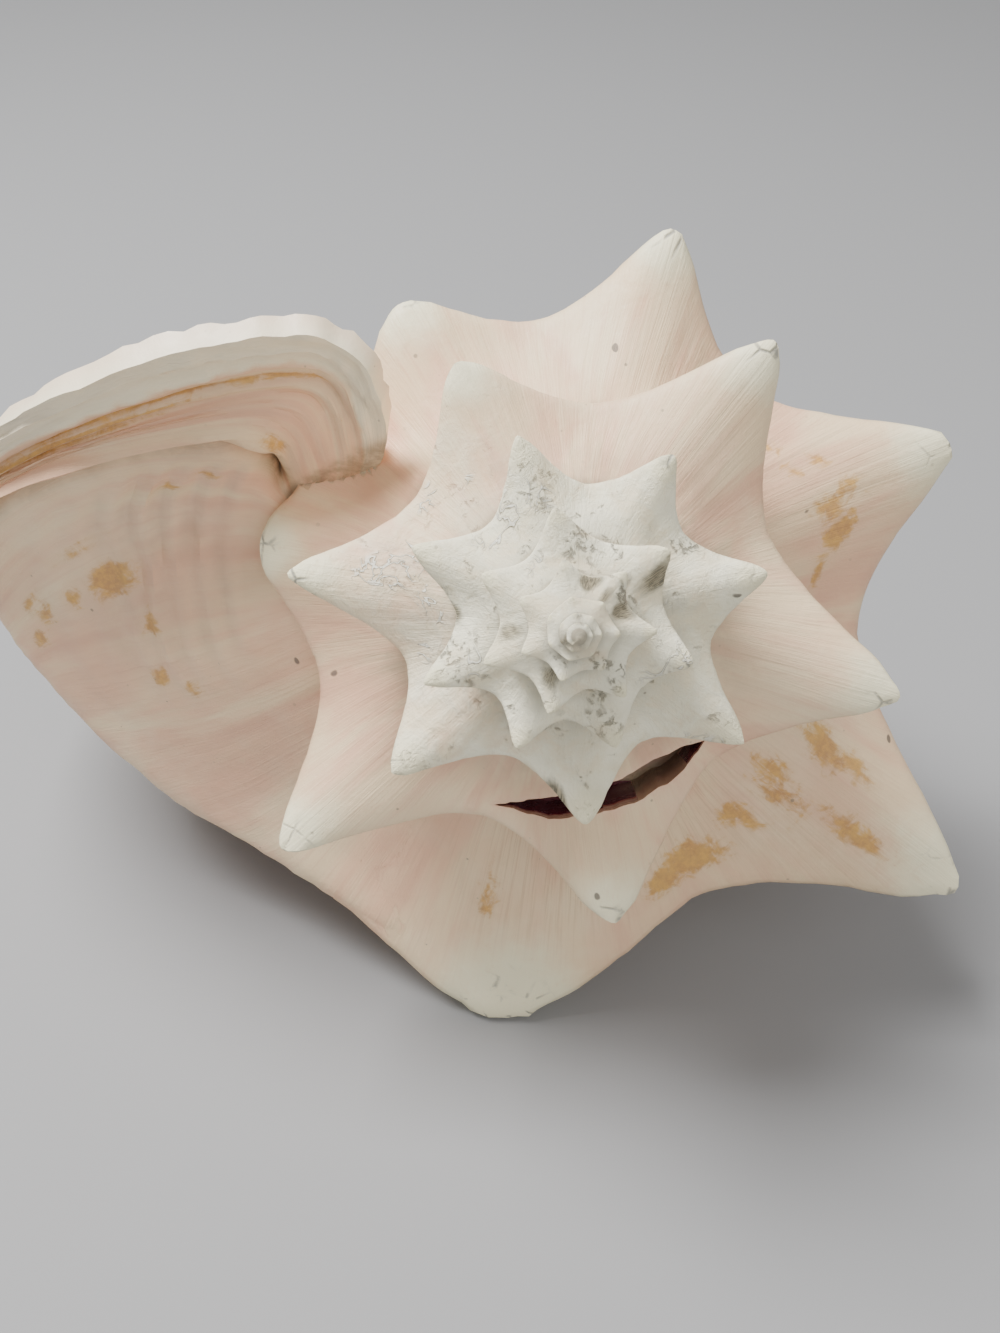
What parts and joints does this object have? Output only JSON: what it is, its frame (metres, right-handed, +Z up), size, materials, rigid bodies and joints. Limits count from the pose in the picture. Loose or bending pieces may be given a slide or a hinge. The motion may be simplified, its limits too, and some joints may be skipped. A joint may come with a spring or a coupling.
{
  "type": "queen conch shell",
  "caption": "Large spired conch shell with knobbed whorls, a broad flared lip and a slit cut through the spire, lying on its back with the aperture up.",
  "frame": {"origin": "centre of the bounding box's bottom face, at the surface the shell lies on", "axes": "+Z up. The apex points toward -Y and up, about 30 degrees above level; the siphonal end points toward +Y. The flared lip spreads toward -X and the aperture faces +Z."},
  "size_m": [0.201, 0.2044, 0.1438],
  "materials": {
    "shell": "matt chalky outside, satin inside the lip"
  },
  "bodies": {
    "root": {"shell": "shell"}
  },
  "joints": []
}
